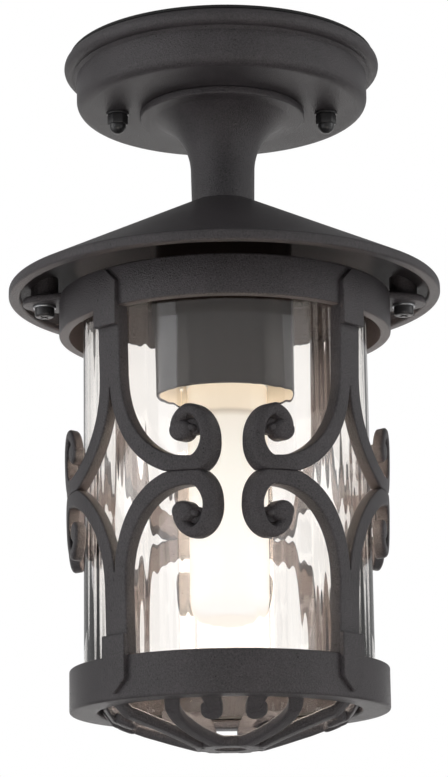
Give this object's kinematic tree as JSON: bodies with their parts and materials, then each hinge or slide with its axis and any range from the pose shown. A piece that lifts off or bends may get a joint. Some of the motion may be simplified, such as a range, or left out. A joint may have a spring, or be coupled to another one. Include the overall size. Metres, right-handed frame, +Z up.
{
  "type": "porch ceiling lantern",
  "caption": "Black cast lantern for a porch ceiling: round rose, short flared stem, conical roof, scrolled posts round a rippled glass cylinder, open scroll grille below.",
  "frame": {"origin": "on the ceiling plane, at the centre of the mounting strap's two slots and of the rose", "axes": "+Z up, along the lantern's axis; +X through the two dome nuts and the two cage screws; -Y towards the pictured front"},
  "size_m": [0.187, 0.187, 0.305],
  "materials": {
    "black_coat": "matt black powder coat with a fine texture",
    "black_shroud": "smooth satin black",
    "black_fastener": "satin black plated steel",
    "zinc_steel": "bright zinc",
    "brass": "plain brass",
    "foam": "black closed-cell foam",
    "seal": "translucent silicone",
    "pale_plastic": "moulded, plain",
    "ceramic": "glazed ceramic",
    "black_plastic": "moulded, matt",
    "white_plastic": "moulded, satin",
    "lamp_metal": "bright",
    "opal": "opal diffuser, lit",
    "lead_brown": "brown lead insulation",
    "lead_blue": "blue lead insulation",
    "lead_green": "green and yellow lead insulation",
    "clear_glass": "clear, with vertical ripples"
  },
  "bodies": {
    "fixture": {"ceiling_gasket": "foam", "mounting_strap": "zinc_steel", "strap_studs": "zinc_steel", "ceiling_rose": "black_coat", "nut_washers": "black_fastener", "terminal_block": "pale_plastic", "terminal_screws": "zinc_steel", "terminal_fixing_screw": "zinc_steel", "earth_screw": "brass", "lead_live": "lead_brown", "lead_neutral": "lead_blue", "lead_earth": "lead_green", "stem": "black_coat", "threaded_tube": "zinc_steel", "top_washer": "zinc_steel", "top_nut": "zinc_steel", "roof": "black_coat", "lamp_shroud": "black_shroud", "bottom_washer": "zinc_steel", "bottom_nut": "zinc_steel", "lampholder_cap": "black_plastic", "lampholder_skirt": "black_plastic", "contact_insert": "ceramic", "screw_shell": "brass", "centre_contact": "brass"},
    "cage": {"top_ring": "black_coat", "bottom_ring": "black_coat", "post_front_right": "black_coat", "post_back_right": "black_coat", "post_back_left": "black_coat", "post_front_left": "black_coat", "bottom_grille": "black_coat", "glass_cylinder": "clear_glass", "glass_seal_top": "seal", "glass_seal_bottom": "seal", "ear_washers": "zinc_steel"},
    "lamp": {"lamp_tube": "opal", "lamp_collar": "white_plastic", "lamp_cap": "lamp_metal", "lamp_insulator": "black_plastic", "lamp_tip": "lamp_metal"},
    "nut_left": {"dome_nut_left": "black_fastener"},
    "nut_right": {"dome_nut_right": "black_fastener"},
    "screw_left": {"ear_screw_left": "black_fastener"},
    "screw_right": {"ear_screw_right": "black_fastener"}
  },
  "joints": [
    {"name": "cage_lower", "type": "slide", "parent": "fixture", "child": "cage", "axis": [0, 0, -1], "range_m": [0, 0.19]},
    {"name": "lamp_turn", "type": "hinge", "parent": "fixture", "child": "lamp", "pos_m": [0, 0, -0.14], "axis": [0, 0, 1], "continuous": true},
    {"name": "nut_left_turn", "type": "hinge", "parent": "fixture", "child": "nut_left", "pos_m": [-0.046, 0, -0.03], "axis": [0, 0, 1], "continuous": true},
    {"name": "nut_right_turn", "type": "hinge", "parent": "fixture", "child": "nut_right", "pos_m": [0.046, 0, -0.03], "axis": [0, 0, 1], "continuous": true},
    {"name": "screw_left_turn", "type": "hinge", "parent": "cage", "child": "screw_left", "pos_m": [-0.078, 0, -0.115], "axis": [0, 0, 1], "continuous": true},
    {"name": "screw_right_turn", "type": "hinge", "parent": "cage", "child": "screw_right", "pos_m": [0.078, 0, -0.115], "axis": [0, 0, 1], "continuous": true}
  ]
}
